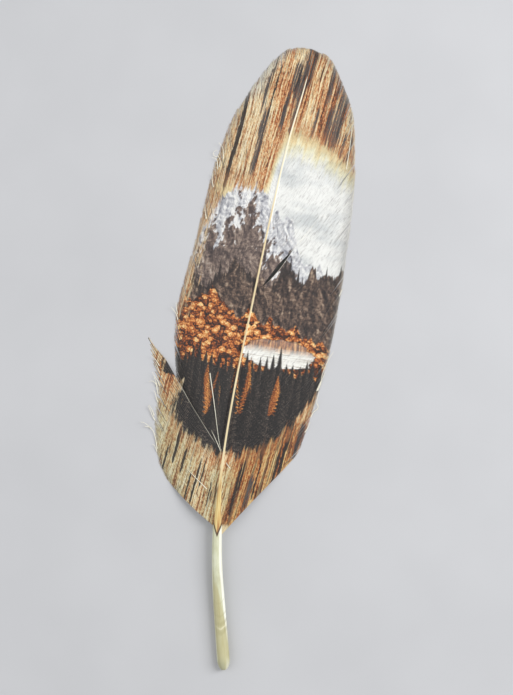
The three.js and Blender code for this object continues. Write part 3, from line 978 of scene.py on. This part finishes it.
def loose_barb_tree():
    """Turns lines of points into tapered barbs with a fringe of barbules."""
    sockets = {
        "Lines": "Geometry", "Step": "Float", "Radius": "Float", "Barbule Length": "Float",
        "Barbule Radius": "Float", "Seed": "Float", "Finish": "Material",
    }
    w, take = new_tree("loose_barbs", "Barbs", sockets)
    lines = w.node("GeometryNodeMeshToCurve", {}, {0: take["Lines"]})
    lines = w.node("GeometryNodeCurveSplineType", {"spline_type": "CATMULL_ROM"}, {0: lines})
    lines = w.node("GeometryNodeResampleCurve", {"mode": "LENGTH"}, {0: lines, "Length": take["Step"]})
    t = w.node("GeometryNodeSplineParameter")
    taper = t * 0.75 + 0.25
    lines = stored(lines, "t", t)
    lines = stored(lines, "barb", w.dice(w.node("GeometryNodeInputIndex") + take["Seed"]))
    ring = w.node("GeometryNodeCurvePrimitiveCircle", {}, {"Resolution": 6, "Radius": 1.0})
    inputs = {"Curve": lines, "Profile Curve": ring, "Scale": taper * take["Radius"], "Fill Caps": True}
    tubes = w.node("GeometryNodeCurveToMesh", {}, inputs)

    settings = {"fill_type": "NGON"}
    inputs = {"Vertices": 3, "Side Segments": 3, "Radius Top": 0.2, "Radius Bottom": 1.0, "Depth": 1.0}
    barbule = w.node("GeometryNodeMeshCone", settings, inputs)
    tangent = w.node("GeometryNodeInputTangent")
    fringes = [tubes]
    for turn in (-1, 1):
        throw = w.dice(w.node("GeometryNodeInputIndex") + take["Seed"] + turn * 0.31)
        lean = throw * 0.5 + 0.65
        settings = {"rotation_type": "Z_AXIS"}
        aim = w.node("ShaderNodeVectorRotate", settings, {"Vector": tangent * -1, "Angle": lean * turn})
        settings = {"axis": "Z"}
        stance = w.node("FunctionNodeAlignRotationToVector", settings, {"Vector": aim})
        reach = take["Barbule Length"] * (throw * 0.8 + 0.2)
        size = w.place(take["Barbule Radius"], take["Barbule Radius"], reach)
        inputs = {"Points": lines, "Instance": barbule, "Rotation": stance, "Scale": size}
        fringes.append(w.node("GeometryNodeInstanceOnPoints", {}, inputs))
    join = w.node("GeometryNodeJoinGeometry")
    for fringe in fringes:
        w.tree.links.new(fringe.socket, join.socket.node.inputs[0])
    whole = w.node("GeometryNodeRealizeInstances", {}, {0: join})
    return end_tree(w.node("GeometryNodeSetMaterial", {}, {"Geometry": whole, "Material": take["Finish"]}))


loose_points, loose_edges = [], []
for rows, rise in ((CURLED, CURL_RISE), (LYING, 0.0)):
    for row in rows:
        share = np.linspace(1, 0, len(row))
        for i, (x, y) in enumerate(row):
            height = vane_height(x, y) + LOOSE_LIFT + rise * share[i] ** 2
            loose_points.append((x * MM, y * MM, height * MM))
            if i:
                loose_edges.append((len(loose_points) - 2, len(loose_points) - 1))
line = bpy.data.meshes.new("loose_barbs")
line.from_pydata(loose_points, loose_edges, [])
inputs = {
    "Step": 0.3 * MM, "Radius": 0.24 * MM, "Barbule Length": 0.6 * MM, "Barbule Radius": 0.035 * MM,
    "Seed": 6000.0, "Finish": loose_barb,
}
loose = new_piece("loose_barbs", grown("loose_barbs", line, loose_barb_tree(), inputs))
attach(loose, "root")
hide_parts("feather")


# The stage: a plain pale floor, soft studio light that comes mostly from the right, and a camera that
# looks straight down on the feather, turned a little so that the quill points to the lower right.
FLOOR_HALF = 1.5
SKY_STRENGTH, KEY_WATTS, FILL_WATTS = 0.6, 9.6, 3.0
CAMERA_PLACE, CAMERA_TURN = (0.0076, 0.0051, 0.826), math.radians(7.8)

corners = [(x * FLOOR_HALF, y * FLOOR_HALF, 0) for x, y in ((-1, -1), (1, -1), (1, 1), (-1, 1))]
floor_mesh = bpy.data.meshes.new("floor")
floor_mesh.from_pydata(corners, [], [(0, 1, 2, 3)])


def paint_floor(w):
    x, y, _ = (w.node("ShaderNodeTexCoord", output="Object") * 1000.0).parts()
    tone = w.noise(x * 0.02, y * 0.02, 70.0, 2.0)
    return tone.ramp((0.3, ink(190, 191, 194)), (0.7, ink(194, 195, 198))), tone * 0.05, tone, 0.00001


floor = new_piece("floor", floor_mesh, coat("pale_floor", 0.8, 0.0, paint_floor))

world = bpy.data.worlds.new("studio")
world.use_nodes = True
world.node_tree.nodes["Background"].inputs["Color"].default_value = (1, 1, 1, 1)
world.node_tree.nodes["Background"].inputs["Strength"].default_value = SKY_STRENGTH
scene.world = world


def soft_light(name, place, size, power):
    lamp = bpy.data.lights.new(name, "AREA")
    lamp.shape, lamp.size, lamp.size_y, lamp.energy = "RECTANGLE", size[0], size[1], power
    light = bpy.data.objects.new(name, lamp)
    light.location = place
    light.rotation_euler = (-Vector(place)).to_track_quat("-Z", "Y").to_euler()
    scene.collection.objects.link(light)


soft_light("key", (0.75, 0.35, 0.85), (0.4, 0.8), KEY_WATTS)
soft_light("fill", (-0.8, -0.1, 0.9), (0.9, 0.9), FILL_WATTS)

lens = bpy.data.cameras.new("camera")
lens.sensor_fit, lens.sensor_height, lens.lens = "VERTICAL", 36.0, 85.0
lens.clip_start, lens.clip_end = 0.01, 20.0
camera = bpy.data.objects.new("camera", lens)
camera.location = CAMERA_PLACE
camera.rotation_euler = (0.0, 0.0, CAMERA_TURN)
scene.collection.objects.link(camera)
scene.camera = camera
scene.view_settings.view_transform = "Standard"
